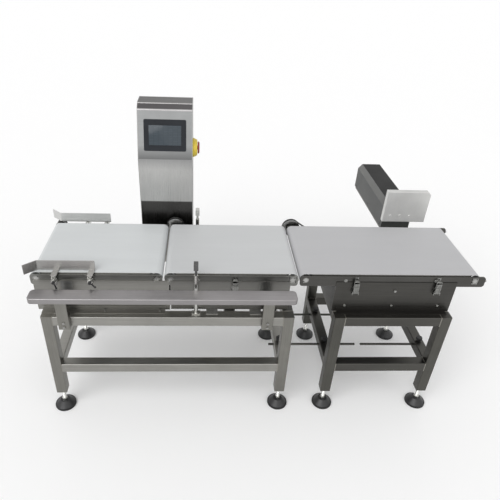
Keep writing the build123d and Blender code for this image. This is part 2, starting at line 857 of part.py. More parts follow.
with BuildPart() as door_lock:
    with BuildSketch(facing(lock_x, door_face + door_thickness + 8, lock_z)):
        Circle(lock_head)
        Rectangle(3, 1.4 * lock_head, mode=Mode.SUBTRACT)
    extrude(amount=7.5)
    cam_face = cabinet_back - cabinet_wall - door_gap
    with BuildSketch(facing(lock_x, door_face + door_thickness + 3, lock_z)):
        Circle(lock_shaft)
    extrude(amount=door_face + door_thickness + 3 - cam_face)
    with BuildSketch(facing(lock_x, cam_face, lock_z)):
        with Locations((0, -10)):
            RectangleRounded(14, 36, 5)
    extrude(amount=cam_thickness)
write(door_lock, "door_lock")

# Control gear on a plate between the cheeks
gear_setback = 65
gear_rise = 33
gear_height = 440
gear_plate = cabinet_front + gear_setback
gear_boxes = [
    (-82, 320, 62, 120, 96), (0, 320, 84, 120, 84), (82, 320, 62, 120, 70),
    (-80, 150, 46, 130, 104), (-20, 150, 46, 130, 104), (40, 150, 46, 130, 104),
    (0, 46, 210, 44, 40),
]
with BuildPart() as control_gear:
    gear_bottom = cabinet_base + gear_rise
    with BuildSketch(facing(cabinet_middle, gear_plate, gear_bottom + gear_height / 2)):
        Rectangle(inner_width, gear_height)
    extrude(amount=cabinet_wall)
    for x, rise, width, height, depth in gear_boxes:
        with BuildSketch(facing(cabinet_middle + x, gear_plate, gear_bottom + rise)):
            Rectangle(width, height)
        extrude(amount=-depth)
write(control_gear, "control_gear")

# Emergency stop on the right cheek, towards the outfeed
stop_disc = 46
stop_disc_thickness = 7
stop_collar = 22
stop_collar_end = 17.5
stop_stem = 10
stop_travel = 6
stop_cap = 28
stop_end = 33
with BuildPart() as e_stop_base:
    with BuildSketch(endwise(cabinet_right, stop_depth, stop_height)):
        Circle(stop_disc)
    extrude(amount=stop_disc_thickness)
    chamfer(e_stop_base.faces().sort_by(Axis.X)[-1].edges(), 1.5)
    with BuildSketch(endwise(cabinet_right, stop_depth, stop_height)):
        Circle(stop_collar)
    extrude(amount=stop_collar_end)
    with BuildSketch(endwise(cabinet_right + 1, stop_depth, stop_height)):
        Circle(stop_stem + bore_gap)
    extrude(amount=stop_collar_end, mode=Mode.SUBTRACT)
write(e_stop_base, "e_stop_base")

cap_start = stop_collar_end + stop_travel + running_gap
with BuildPart() as e_stop_button:
    with BuildSketch(endwise(cabinet_right + 1 + stop_travel + running_gap, stop_depth, stop_height)):
        Circle(stop_stem)
    extrude(amount=cap_start - 1 - stop_travel)
    with BuildSketch(endwise(cabinet_right + cap_start, stop_depth, stop_height)):
        Circle(stop_cap)
    extrude(amount=stop_end - cap_start)
    fillet(e_stop_button.faces().sort_by(Axis.X)[-1].edges(), 6)
write(e_stop_button, "e_stop_button")

# Brackets: load cell beam, cabinet arms with their plate, and the pusher's shelf
guard_middle = guard_left + guard_width / 2
arm_inset = 45
cabinet_arms = (cabinet_left + arm_inset, cabinet_right - arm_inset)
with BuildPart() as support_brackets:
    with BuildSketch(facing(weigh_beam, cross_run / 2, rail_height)):
        RectangleRounded(tube, tube, tube_corner)
        Rectangle(tube - 2 * tube_wall, tube - 2 * tube_wall, mode=Mode.SUBTRACT)
    extrude(amount=cross_run)
    arm_end = cabinet_back - 20
    with BuildSketch(facing(0, arm_end, stand_height - arm_size / 2)):
        with Locations(*[(x, 0) for x in cabinet_arms]):
            RectangleRounded(arm_size, arm_size, tube_corner)
            Rectangle(arm_size - 2 * tube_wall, arm_size - 2 * tube_wall, mode=Mode.SUBTRACT)
    extrude(amount=arm_end - rail_face)
    with BuildSketch(level(cabinet_middle, (cabinet_front + arm_end) / 2, stand_height)):
        Rectangle(cabinet_width - 20, arm_end - cabinet_front)
    extrude(amount=arm_plate)
    with BuildSketch(endwise(guard_left, 0, 0)):
        with BuildLine():
            Polyline(
                (base_face, guard_bottom),
                (guard_far - shelf_inset, guard_bottom),
                (guard_far - shelf_inset, guard_bottom - bracket_plate),
                (base_face + bracket_plate, guard_bottom - bracket_plate),
                (base_face + bracket_plate, guard_bottom - bracket_drop),
                (base_face, guard_bottom - bracket_drop),
                close=True,
            )
        make_face()
    extrude(amount=guard_width)
    with BuildSketch(endwise(guard_middle - bracket_plate / 2, 0, 0)):
        with BuildLine():
            Polyline(
                (base_face + bracket_plate, guard_bottom - bracket_plate),
                (guard_far - gusset_inset, guard_bottom - bracket_plate),
                (base_face + bracket_plate, guard_bottom - bracket_drop),
                close=True,
            )
        make_face()
    extrude(amount=bracket_plate)
write(support_brackets, "support_brackets")

# Reject pusher: a folded guard over a cylinder with two guide rods
guard_slant = 26


def guard_outline(inset):
    side = guard_width / 2 - inset
    top = guard_bottom + guard_height - inset
    return [
        (-side, guard_bottom),
        (-side, top - guard_slant),
        (-side + guard_chamfer, top),
        (side - guard_chamfer, top),
        (side, top - guard_slant),
        (side, guard_bottom),
    ]


rod_lines = [(-guide_rod_spacing / 2, guide_rod), (0, rod_end), (guide_rod_spacing / 2, guide_rod)]
with BuildPart() as pusher_guard:
    with BuildSketch(facing(guard_middle, guard_far, 0)):
        with BuildLine():
            Polyline(*guard_outline(0), close=True)
        make_face()
    extrude(amount=guard_far - guard_near)
    with BuildSketch(facing(guard_middle, guard_far - guard_wall, 0)):
        with BuildLine():
            Polyline(*guard_outline(guard_wall), close=True)
        make_face()
    extrude(amount=guard_far - guard_near - 2 * guard_wall, mode=Mode.SUBTRACT)
    with BuildSketch(facing(guard_middle, guard_near + guard_wall, rod_height)):
        for x, radius in rod_lines:
            with Locations((x, 0)):
                Circle(radius + 1)
    extrude(amount=guard_wall, mode=Mode.SUBTRACT)
write(pusher_guard, "pusher_guard")

block_front = guard_near + 32
block_depth = 60
block_width = 136
block_cover = 28
block_height = rod_height - guard_bottom + block_cover
cylinder_back = block_front + block_depth + barrel_length
foot_width = 60
end_cover = 20
bore_end = 6
piston_depth = 30
piston_back = cylinder_back - end_cover
with BuildPart() as pusher_cylinder:
    with BuildSketch(facing(guard_middle, block_front + block_depth, guard_bottom + block_height / 2)):
        RectangleRounded(block_width, block_height, 4)
    extrude(amount=block_depth)
    with BuildSketch(facing(guard_middle, cylinder_back, rod_height)):
        Circle(cylinder_radius)
    extrude(amount=cylinder_back - block_front)
    with BuildSketch(facing(guard_middle, cylinder_back, (guard_bottom + rod_height) / 2)):
        Rectangle(foot_width, rod_height - guard_bottom)
    extrude(amount=30)
    with BuildSketch(facing(guard_middle, cylinder_back - bore_end, rod_height)):
        Circle(cylinder_bore)
    extrude(amount=barrel_length - 2 * bore_end, mode=Mode.SUBTRACT)
    with BuildSketch(facing(guard_middle, piston_back, rod_height)):
        for x, radius in rod_lines:
            with Locations((x, 0)):
                Circle(radius + bore_gap)
    extrude(amount=piston_back - block_front, mode=Mode.SUBTRACT)
write(pusher_cylinder, "pusher_cylinder")

head_back = pusher_front + pusher_wall
head_centre = pusher_left + pusher_width / 2
corner_cut = 14
with BuildPart() as pusher_head:
    with BuildSketch(facing(head_centre, pusher_front + pusher_flange, pusher_bottom + pusher_height / 2)):
        Rectangle(pusher_width, pusher_height)
    extrude(amount=pusher_flange)
    chamfer(pusher_head.edges().filter_by(Axis.Y).group_by(Axis.Z)[-1].sort_by(Axis.X)[-1], corner_cut)
    fillet(pusher_head.faces().sort_by(Axis.Y)[0].edges(), 2)
    offset(amount=-pusher_wall, openings=pusher_head.faces().sort_by(Axis.Y)[-1])
    for x, radius in rod_lines:
        with BuildSketch(facing(guard_middle + x, piston_back, rod_height)):
            Circle(radius)
        extrude(amount=piston_back - head_back)
        with BuildSketch(facing(guard_middle + x, pusher_front, rod_height)):
            Circle(radius)
        extrude(amount=3)
    with BuildSketch(facing(guard_middle, piston_back, rod_height)):
        Circle(cylinder_bore - bore_gap)
    extrude(amount=piston_depth)
write(pusher_head, "pusher_head")

# Infeed guides: folded plates on posts, each post in a clamp on the side plate
clamp_width = 24
clamp_depth = 24
clamp_bottom = base_top + 1
clamp_top = side_top - 1
tab_thickness = 3
post_drop = 50
post_bottom = belt_height - post_drop
guide_bottom = belt_height + guide_lift
clamp_line = half_frame + clamp_depth / 2
flare = radians(guide_flare_angle)


def build_guide(side, line, places):
    start, end = guide_span
    tip = (start - guide_flare * cos(flare), side * (line + guide_flare * sin(flare)))
    with BuildPart() as guide:
        with BuildSketch(level(0, 0, guide_bottom)):
            with BuildLine():
                Polyline(tip, (start, side * line), (end, side * line))
                offset(amount=guide_thickness / 2)
            make_face()
        extrude(amount=guide_height)
        tab_start = line - guide_thickness / 2
        tab_end = half_frame + clamp_depth
        with BuildSketch(level(0, 0, guide_bottom)):
            with Locations(*[(x, side * (tab_start + tab_end) / 2) for x in places]):
                Rectangle(clamp_width, tab_end - tab_start)
        extrude(amount=tab_thickness)
        with BuildSketch(level(0, 0, post_bottom)):
            with Locations(*[(x, side * clamp_line) for x in places]):
                Circle(guide_arm)
        extrude(amount=guide_bottom - post_bottom)
    return guide


write(build_guide(-1, front_guide, front_guide_posts), "infeed_guide_front")
write(build_guide(1, rear_guide, rear_guide_posts), "infeed_guide_rear")

# Clamps for the guide posts, and sleeves for the photo-eye rods, with hand knobs
clamp_places = [(x, -1) for x in front_guide_posts] + [(x, 1) for x in rear_guide_posts]
sleeve_flange = 20
sleeve_bore = eye_rod + bore_gap
with BuildPart() as post_clamps:
    with BuildSketch(level(0, 0, clamp_bottom)):
        with Locations(*[(x, side * clamp_line) for x, side in clamp_places]):
            RectangleRounded(clamp_width, clamp_depth, 2)
            Circle(guide_arm + bore_gap, mode=Mode.SUBTRACT)
    extrude(amount=clamp_top - clamp_bottom)
    for x, side in clamp_places:
        face = side * (half_frame + clamp_depth)
        with BuildSketch(facing(x, face, (clamp_bottom + clamp_top) / 2)):
            Circle(4)
        extrude(amount=-side * 6)
        with BuildSketch(facing(x, face + side * 6, (clamp_bottom + clamp_top) / 2)):
            RegularPolygon(11, 5)
        extrude(amount=-side * 9)
    for side in (-1, 1):
        with BuildSketch(level(eye_place, side * eye_line, stand_height)):
            RectangleRounded(2 * sleeve_flange, 2 * eye_tube + 6, 3)
        extrude(amount=6)
        with BuildSketch(level(eye_place, side * eye_line, stand_height)):
            Circle(eye_tube)
        extrude(amount=eye_tube_top - stand_height)
        with BuildSketch(level(eye_place, side * eye_line, stand_height + 10)):
            Circle(sleeve_bore)
        extrude(amount=eye_tube_top - stand_height, mode=Mode.SUBTRACT)
write(post_clamps, "post_clamps")


# Photo-eyes on rods that slide in the sleeves
def build_eye(side):
    head_height = 30
    head_bottom = eye_top - head_height
    with BuildPart() as eye:
        with BuildSketch(level(eye_place, side * eye_line, eye_tube_top - eye_rod_drop)):
            Circle(eye_rod)
        extrude(amount=eye_top - eye_tube_top + eye_rod_drop)
        with BuildSketch(level(eye_place, side * (eye_line - 6), head_bottom)):
            RectangleRounded(20, 30, 2)
        extrude(amount=head_height)
        with BuildSketch(facing(eye_place, side * (eye_line - 21), head_bottom + head_height / 2)):
            Circle(6)
        extrude(amount=side * 2)
    return eye


write(build_eye(-1), "photo_eye_front")
write(build_eye(1), "photo_eye_rear")

# Toggle latches: base with ears on the base sheet, keeper on the side plate
pivot_line = base_face + latch_standoff
ear_thickness = 2
barrel_radius = 5
with BuildPart() as latch_bases:
    with BuildSketch(facing(0, -base_face, 0)):
        with Locations(*[(x, latch_pivot + 8) for x in latch_places]):
            RectangleRounded(latch_width, 34, 3)
    extrude(amount=ear_thickness)
    for x in latch_places:
        for ear in (x - latch_width / 2, x + latch_width / 2 - ear_thickness):
            with BuildSketch(endwise(ear, -(base_face + latch_standoff / 2 + 3), latch_pivot)):
                Rectangle(latch_standoff + 6, 14)
            extrude(amount=ear_thickness)
        with BuildSketch(endwise(x - latch_width / 2, -pivot_line, latch_pivot)):
            Circle(latch_pin)
        extrude(amount=latch_width)
        with BuildSketch(endwise(x - 8, 0, 0)):
            with BuildLine():
                Polyline(
                    (-half_frame, base_top + 1),
                    (-half_frame - 2, base_top + 1),
                    (-half_frame - 2, latch_keeper - 6),
                    (-pivot_line + 1, latch_keeper - 6),
                    (-pivot_line + 1, latch_keeper - latch_wire - running_gap),
                    (-half_frame - 2, latch_keeper - latch_wire - running_gap),
                    (-half_frame - 2, side_top - 3),
                    (-half_frame, side_top - 3),
                    close=True,
                )
            make_face()
        extrude(amount=16)
write(latch_bases, "latch_bases")

for number, x in enumerate(latch_places, start=1):
    with BuildPart() as latch_lever:
        barrel = latch_width - 2 * ear_thickness - 2
        with BuildSketch(endwise(x - barrel / 2, -pivot_line, latch_pivot)):
            Circle(barrel_radius)
            with Locations((-barrel_radius + 1, lever_length / 2)):
                Rectangle(2, lever_length)
            with Locations((-barrel_radius / 2, 30)):
                Rectangle(barrel_radius + 4, 6)
            Circle(latch_pin + bore_gap, mode=Mode.SUBTRACT)
        extrude(amount=barrel)
        reach = barrel / 2 - latch_wire / 2
        rise = latch_keeper - latch_pivot
        with BuildLine(facing(x, -pivot_line, latch_pivot)) as bail:
            FilletPolyline((-reach, 28), (-reach, rise), (reach, rise), (reach, 28), radius=5)
        with BuildSketch(Plane(origin=bail.line @ 0, z_dir=bail.line % 0)):
            Circle(latch_wire)
        sweep()
    write(latch_lever, f"latch_lever_{number}")
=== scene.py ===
import math
import bpy
import bmesh
from mathutils import Matrix, Vector


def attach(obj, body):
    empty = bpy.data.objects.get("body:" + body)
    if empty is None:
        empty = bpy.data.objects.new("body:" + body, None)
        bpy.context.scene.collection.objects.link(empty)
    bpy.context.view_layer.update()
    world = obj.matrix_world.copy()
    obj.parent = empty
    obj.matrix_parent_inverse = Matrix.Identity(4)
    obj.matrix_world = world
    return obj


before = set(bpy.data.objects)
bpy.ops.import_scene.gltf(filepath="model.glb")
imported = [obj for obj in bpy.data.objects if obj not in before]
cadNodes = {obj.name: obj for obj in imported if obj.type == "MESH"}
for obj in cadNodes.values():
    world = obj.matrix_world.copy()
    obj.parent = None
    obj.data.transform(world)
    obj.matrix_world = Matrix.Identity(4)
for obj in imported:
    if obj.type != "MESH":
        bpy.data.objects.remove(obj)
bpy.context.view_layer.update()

# Places below are millimetres along the line: x from the infeed end of the belt,
# y from the belts' centre line, z from the floor.
lineShift = {"x": -1006.386, "y": -225.0}


def place(x, y, z):
    return Vector(((x + lineShift["x"]) / 1000, (y + lineShift["y"]) / 1000, z / 1000))


def metres(value):
    return value / 1000


# Materials

def startMaterial(name, colour, metallic, roughness):
    material = bpy.data.materials.new(name)
    material.use_nodes = True
    nodes = material.node_tree.nodes
    shader = nodes["Principled BSDF"]
    shader.inputs["Base Color"].default_value = (*colour, 1)
    shader.inputs["Metallic"].default_value = metallic
    shader.inputs["Roughness"].default_value = roughness
    return material, nodes, material.node_tree.links, shader


def objectNoise(nodes, links, stretch, scale, detail=3.0, roughness=0.55):
    coords = nodes.new("ShaderNodeTexCoord")
    mapping = nodes.new("ShaderNodeMapping")
    mapping.inputs["Scale"].default_value = stretch
    noise = nodes.new("ShaderNodeTexNoise")
    noise.inputs["Scale"].default_value = scale
    noise.inputs["Detail"].default_value = detail
    noise.inputs["Roughness"].default_value = roughness
    links.new(coords.outputs["Object"], mapping.inputs["Vector"])
    links.new(mapping.outputs["Vector"], noise.inputs["Vector"])
    return noise.outputs["Fac"]


def spread(nodes, links, source, low, high, start=0.3, end=0.7):
    ranger = nodes.new("ShaderNodeMapRange")
    ranger.inputs["From Min"].default_value = start
    ranger.inputs["From Max"].default_value = end
    ranger.inputs["To Min"].default_value = low
    ranger.inputs["To Max"].default_value = high
    links.new(source, ranger.inputs["Value"])
    return ranger.outputs["Result"]


def edgeMask(nodes, links, width):
    rounded = nodes.new("ShaderNodeBevel")
    rounded.samples = 6
    rounded.inputs["Radius"].default_value = width
    geometry = nodes.new("ShaderNodeNewGeometry")
    compare = nodes.new("ShaderNodeVectorMath")
    compare.operation = "DOT_PRODUCT"
    links.new(rounded.outputs["Normal"], compare.inputs[0])
    links.new(geometry.outputs["Normal"], compare.inputs[1])
    return spread(nodes, links, compare.outputs["Value"], 1.0, 0.0, 0.9, 0.995)


def mixColours(nodes, links, factor, first, second):
    mixer = nodes.new("ShaderNodeMix")
    mixer.data_type = "RGBA"
    mixer.clamp_factor = True
    links.new(factor, mixer.inputs[0])
    for socket, value in ((6, first), (7, second)):
        if isinstance(value, tuple):
            mixer.inputs[socket].default_value = (*value, 1)
        else:
            links.new(value, mixer.inputs[socket])
    return mixer.outputs[2]


def addBump(nodes, links, shader, source, strength, distance):
    bump = nodes.new("ShaderNodeBump")
    bump.inputs["Strength"].default_value = strength
    bump.inputs["Distance"].default_value = distance
    links.new(source, bump.inputs["Height"])
    links.new(bump.outputs["Normal"], shader.inputs["Normal"])


def shade(colour, amount):
    return tuple(min(1.0, value * amount) for value in colour)


def brushedMetal(name, colour, grain, roughness=0.36, contrast=0.16, wear=0.0012):
    material, nodes, links, shader = startMaterial(name, colour, 1.0, roughness)
    lines = objectNoise(nodes, links, grain, 1.0, 4.0, 0.7)
    clouds = objectNoise(nodes, links, (1, 1, 1), 5.5, 3.0, 0.6)
    grained = mixColours(nodes, links, spread(nodes, links, lines, 0, 1),
                         shade(colour, 1 - contrast), shade(colour, 1 + contrast))
    dulled = mixColours(nodes, links, spread(nodes, links, clouds, 0, 0.55, 0.42, 0.72),
                        grained, shade(colour, 0.78))
    worn = mixColours(nodes, links, edgeMask(nodes, links, wear), dulled, shade(colour, 1.7))
    links.new(worn, shader.inputs["Base Color"])
    links.new(spread(nodes, links, lines, roughness - 0.07, roughness + 0.1), shader.inputs["Roughness"])
    addBump(nodes, links, shader, lines, 0.12, 0.0004)
    return material


def mouldedPlastic(name, colour, roughness, grainScale=900, depth=0.1, shine=0.5):
    material, nodes, links, shader = startMaterial(name, colour, 0.0, roughness)
    shader.inputs["Specular IOR Level"].default_value = shine
    grain = objectNoise(nodes, links, (1, 1, 1), grainScale, 2.0)
    clouds = objectNoise(nodes, links, (1, 1, 1), 14, 3.0)
    base = mixColours(nodes, links, spread(nodes, links, clouds, 0, 1),
                      shade(colour, 0.85), shade(colour, 1.15))
    edges = mixColours(nodes, links, edgeMask(nodes, links, 0.0012), base, shade(colour, 1.6))
    links.new(edges, shader.inputs["Base Color"])
    links.new(spread(nodes, links, clouds, roughness - 0.06, roughness + 0.08), shader.inputs["Roughness"])
    addBump(nodes, links, shader, grain, depth, 0.0003)
    return material


def paintedMetal(name, colour, roughness, shine=0.5):
    material, nodes, links, shader = startMaterial(name, colour, 0.0, roughness)
    shader.inputs["Specular IOR Level"].default_value = shine
    peel = objectNoise(nodes, links, (1, 1, 1), 420, 2.0)
    dust = objectNoise(nodes, links, (1, 1, 1), 7, 4.0, 0.6)
    base = mixColours(nodes, links, spread(nodes, links, dust, 0, 1, 0.35, 0.75),
                      colour, shade(colour, 1.35))
    edges = mixColours(nodes, links, edgeMask(nodes, links, 0.001), base, shade(colour, 2.4))
    links.new(edges, shader.inputs["Base Color"])
    links.new(spread(nodes, links, dust, roughness - 0.05, roughness + 0.1), shader.inputs["Roughness"])
    addBump(nodes, links, shader, peel, 0.08, 0.0003)
    return material


def beltCover(name, colour):
    material, nodes, links, shader = startMaterial(name, colour, 0.0, 0.42)
    weave = nodes.new("ShaderNodeTexWave")
    coords = nodes.new("ShaderNodeTexCoord")
    weave.bands_direction = "Y"
    weave.inputs["Scale"].default_value = 260
    weave.inputs["Distortion"].default_value = 1.2
    links.new(coords.outputs["Object"], weave.inputs["Vector"])
    rubbed = objectNoise(nodes, links, (0.6, 5, 1), 3.2, 5.0, 0.6)
    specks = objectNoise(nodes, links, (1, 1, 1), 60, 4.0, 0.7)
    base = mixColours(nodes, links, spread(nodes, links, rubbed, 0, 1),
                      shade(colour, 0.965), shade(colour, 1.025))
    dirty = mixColours(nodes, links, spread(nodes, links, specks, 0, 0.35, 0.6, 0.8),
                       base, shade(colour, 0.85))
    links.new(dirty, shader.inputs["Base Color"])
    links.new(spread(nodes, links, rubbed, 0.36, 0.52), shader.inputs["Roughness"])
    addBump(nodes, links, shader, weave.outputs["Fac"], 0.05, 0.0002)
    return material


# Brushed steel with bands of painted shade by height: between two heights the colour fades towards a shade
# colour
def shadeBandedSteel(name, colour, grain, roughness, contrast, bands):
    material = brushedMetal(name, colour, grain, roughness, contrast)
    nodes, links = material.node_tree.nodes, material.node_tree.links
    shader = nodes["Principled BSDF"]
    coords = nodes.new("ShaderNodeTexCoord")
    parts = nodes.new("ShaderNodeSeparateXYZ")
    links.new(coords.outputs["Object"], parts.inputs["Vector"])
    paint = shader.inputs["Base Color"].links[0].from_socket
    for low, high, lowShare, highShare, shadeColour in bands:
        mask = spread(nodes, links, parts.outputs["Z"], lowShare, highShare, low, high)
        paint = mixColours(nodes, links, mask, paint, shadeColour)
    links.new(paint, shader.inputs["Base Color"])
    return material


def screenPicture(name):
    material, nodes, links, shader = startMaterial(name, (0.02, 0.04, 0.07), 0.0, 0.12)
    coords = nodes.new("ShaderNodeTexCoord")
    mapping = nodes.new("ShaderNodeMapping")
    mapping.inputs["Location"].default_value = (9, 0, 30)
    mapping.inputs["Scale"].default_value = (22, 1, 34)
    tiles = nodes.new("ShaderNodeTexBrick")
    tiles.offset = 0
    tiles.inputs["Color1"].default_value = (0.035, 0.046, 0.056, 1)
    tiles.inputs["Color2"].default_value = (0.031, 0.041, 0.05, 1)
    tiles.inputs["Mortar"].default_value = (0.027, 0.036, 0.044, 1)
    tiles.inputs["Scale"].default_value = 1.0
    tiles.inputs["Mortar Size"].default_value = 0.03
    split = nodes.new("ShaderNodeSeparateXYZ")
    join = nodes.new("ShaderNodeCombineXYZ")
    links.new(coords.outputs["Object"], mapping.inputs["Vector"])
    links.new(mapping.outputs["Vector"], split.inputs["Vector"])
    links.new(split.outputs["X"], join.inputs["X"])
    links.new(split.outputs["Z"], join.inputs["Y"])
    links.new(join.outputs["Vector"], tiles.inputs["Vector"])
    smears = objectNoise(nodes, links, (1, 1, 1), 30, 3.0)
    links.new(tiles.outputs["Color"], shader.inputs["Base Color"])
    links.new(tiles.outputs["Color"], shader.inputs["Emission Color"])
    shader.inputs["Emission Strength"].default_value = 0.35
    shader.inputs["Specular IOR Level"].default_value = 0.35
    links.new(spread(nodes, links, smears, 0.06, 0.22), shader.inputs["Roughness"])
    return material


# The way the brushing runs
alongX, alongY, alongZ = (4, 420, 420), (420, 4, 420), (420, 420, 4)
everyWay = (60, 60, 60)
finishes = {
    "standSteel": brushedMetal("standSteel", (0.31, 0.304, 0.284), alongX),
    "legSteel": brushedMetal("legSteel", (0.22, 0.215, 0.197), alongZ),
    "darkSteel": brushedMetal("darkSteel", (0.085, 0.083, 0.076), alongX),
    # Darker copy of the leg steel for the outfeed stand: painted shade
    "outfeedShadedLegSteel": brushedMetal("outfeedShadedLegSteel", (0.1, 0.098, 0.088), alongZ),
    "sheetSteel": brushedMetal("sheetSteel", (0.24, 0.235, 0.22), alongX),
    # Darker copy of the sheet steel for the outfeed base: painted shade
    "outfeedShadedSheet": brushedMetal("outfeedShadedSheet", (0.075, 0.073, 0.068), alongX),
    "windowSteel": brushedMetal("windowSteel", (0.27, 0.27, 0.262), alongX),
    "cabinetSteel": brushedMetal("cabinetSteel", (0.5, 0.5, 0.49), alongZ, 0.3, 0.1),
    # Column: painted shade over its open foot below about 0.89 m, and a painted shadow under the head
    # deepening from 1.06 m up to the head
    "columnShadedSteel": shadeBandedSteel("columnShadedSteel", (0.5, 0.5, 0.49), alongZ, 0.3, 0.06, [
        (0.887, 0.893, 1, 0, (0.075, 0.073, 0.071)), (1.06, 1.113, 0, 0.55, (0.2, 0.2, 0.21))]),
    # Cabinet head: lit and shaded copies of one steel for panel, brow and lid, painted light and shade; the
    # panel is darker again at its foot, painted shade
    "panelShadedSteel": shadeBandedSteel("panelShadedSteel", (0.26, 0.265, 0.265), alongX, 0.34, 0.05, [
        (1.115, 1.175, 1, 0, (0.13, 0.132, 0.132))]),
    "browShadedSteel": brushedMetal("browShadedSteel", (0.105, 0.1, 0.102), alongX, 0.36, 0.05),
    "lidShadedSteel": brushedMetal("lidShadedSteel", (0.085, 0.082, 0.08), alongX, 0.36, 0.08),
    # Brighter steel for the head's bends: a painted highlight
    "bendHighlightSteel": brushedMetal("bendHighlightSteel", (0.4, 0.39, 0.39), alongX, 0.3, 0.04),
    "barSteel": brushedMetal("barSteel", (0.3, 0.288, 0.29), alongX, 0.34, 0.12),
    # Darker copy of the sheet steel for the weigh base: painted shade
    "weighShadedSheet": brushedMetal("weighShadedSheet", (0.18, 0.177, 0.167), alongX),
    "rearGuidePlate": brushedMetal("rearGuidePlate", (0.6, 0.6, 0.59), alongX, 0.3, 0.1),
    "leverSteel": brushedMetal("leverSteel", (0.22, 0.22, 0.21), alongZ, 0.3, 0.1, 0.002),
    # Darker copy of the plug steel for the weigh section: painted shade
    "weighShadedPlug": brushedMetal("weighShadedPlug", (0.19, 0.19, 0.18), alongX),
    "cheekSteel": brushedMetal("cheekSteel", (0.26, 0.26, 0.25), alongZ, 0.32, 0.12),
    "plateMetal": brushedMetal("plateMetal", (0.2, 0.2, 0.19), alongX, 0.34, 0.1),
    # Darker copy of the side plate metal for the outfeed: painted shade
    "outfeedShadedPlate": brushedMetal("outfeedShadedPlate", (0.09, 0.088, 0.083), alongX, 0.34, 0.1),
    "rollerMetal": brushedMetal("rollerMetal", (0.45, 0.45, 0.44), alongY, 0.25, 0.1),
    "brightSteel": brushedMetal("brightSteel", (0.55, 0.55, 0.53), everyWay, 0.2, 0.1),
    "fittingSteel": brushedMetal("fittingSteel", (0.3, 0.3, 0.29), everyWay, 0.25, 0.1),
    "castMetal": brushedMetal("castMetal", (0.4, 0.4, 0.39), (90, 90, 90), 0.4, 0.1),
    "guidePlate": brushedMetal("guidePlate", (0.37, 0.365, 0.355), alongX, 0.3, 0.12),
    "headPlate": brushedMetal("headPlate", (0.62, 0.62, 0.605), alongZ, 0.36, 0.04),
    # One white belt cover in three shades: the weigh and outfeed copies are darker, painted shade falling
    # off along the line
    "infeedBelt": beltCover("infeedBelt", (0.61, 0.63, 0.635)),
    "weighShadedBelt": beltCover("weighShadedBelt", (0.545, 0.555, 0.56)),
    "outfeedShadedBelt": beltCover("outfeedShadedBelt", (0.46, 0.46, 0.47)),
    "weldMetal": brushedMetal("weldMetal", (0.3, 0.29, 0.26), (300, 300, 300), 0.42, 0.3),
    "dullScrew": brushedMetal("dullScrew", (0.12, 0.12, 0.12), everyWay, 0.4, 0.1),
    # Shaded copy of the guard paint for its top face: painted shade
    "guardTopShaded": paintedMetal("guardTopShaded", (0.018, 0.018, 0.0175), 0.5, 0.12),
    "eyeMetal": brushedMetal("eyeMetal", (0.13, 0.13, 0.13), alongZ, 0.35, 0.1),
    "blackRubber": mouldedPlastic("blackRubber", (0.012, 0.012, 0.012), 0.6, 500, 0.2),
    "blackPlastic": mouldedPlastic("blackPlastic", (0.014, 0.014, 0.015), 0.42),
    "bezelPlastic": mouldedPlastic("bezelPlastic", (0.012, 0.014, 0.018), 0.34, shine=0.22),
    "gearGrey": mouldedPlastic("gearGrey", (0.28, 0.29, 0.3), 0.5),
    "stopYellow": mouldedPlastic("stopYellow", (0.72, 0.55, 0.06), 0.35),
    "stopRed": mouldedPlastic("stopRed", (0.26, 0.026, 0.018), 0.3),
    "motorPaint": paintedMetal("motorPaint", (0.1, 0.11, 0.12), 0.4),
    "guardPaint": paintedMetal("guardPaint", (0.056, 0.058, 0.056), 0.42, 0.3),
    # Lit copy of the guard paint for its chamfer: painted light
    "guardChamferLit": paintedMetal("guardChamferLit", (0.115, 0.116, 0.112), 0.42, 0.3),
    "screenPicture": screenPicture("screenPicture"),
}

nodeFinish = {
    "stand_legs": "legSteel", "stand_rails": "standSteel", "front_bar": "barSteel",
    "front_bar_posts": "legSteel", "link_rods": "darkSteel", "rod_clamps": "blackPlastic",
    "infeed_base": "sheetSteel", "weigh_base": "weighShadedSheet", "outfeed_base": "outfeedShadedSheet",
    "blanking_plugs": "windowSteel", "infeed_side_plates": "plateMetal",
    "weigh_side_plates": "plateMetal", "outfeed_side_plates": "outfeedShadedPlate",
    "infeed_belt": "infeedBelt", "weigh_belt": "weighShadedBelt", "outfeed_belt": "outfeedShadedBelt",
    "slider_beds": "sheetSteel", "drive_motors": "motorPaint", "timing_belts": "blackRubber",
    "roller_bearings": "fittingSteel", "frame_bolts": "fittingSteel", "load_cell": "castMetal",
    "cabinet_cheeks": "cheekSteel", "cabinet_wrap": "columnShadedSteel",
    "cabinet_rear_door": "cabinetSteel", "touch_screen": "bezelPlastic",
    "e_stop_base": "stopYellow", "e_stop_button": "stopRed", "control_gear": "gearGrey",
    "door_lock": "brightSteel", "support_brackets": "sheetSteel", "pusher_guard": "guardPaint",
    "pusher_cylinder": "castMetal", "pusher_head": "headPlate",
    "infeed_guide_front": "guidePlate", "infeed_guide_rear": "rearGuidePlate",
    "post_clamps": "brightSteel", "photo_eye_front": "eyeMetal",
    "photo_eye_rear": "brightSteel", "latch_bases": "fittingSteel",
}
for line in ("infeed", "weigh", "outfeed"):
    for part in ("drive_roller", "tail_roller", "motor_pulley"):
        nodeFinish[f"{line}_{part}"] = "rollerMetal"
for number in range(1, 9):
    nodeFinish[f"levelling_foot_{number}"] = "blackPlastic"
for number in (1, 2, 3):
    nodeFinish[f"latch_lever_{number}"] = "leverSteel"

for name, node in cadNodes.items():
    node.data.materials.clear()
    node.data.materials.append(finishes[nodeFinish[name]])


def secondFinish(name, finish, test):
    node = cadNodes[name]
    node.data.materials.append(finishes[finish])
    index = len(node.data.materials) - 1
    for face in node.data.polygons:
        if test(face.center, face.normal):
            face.material_index = index


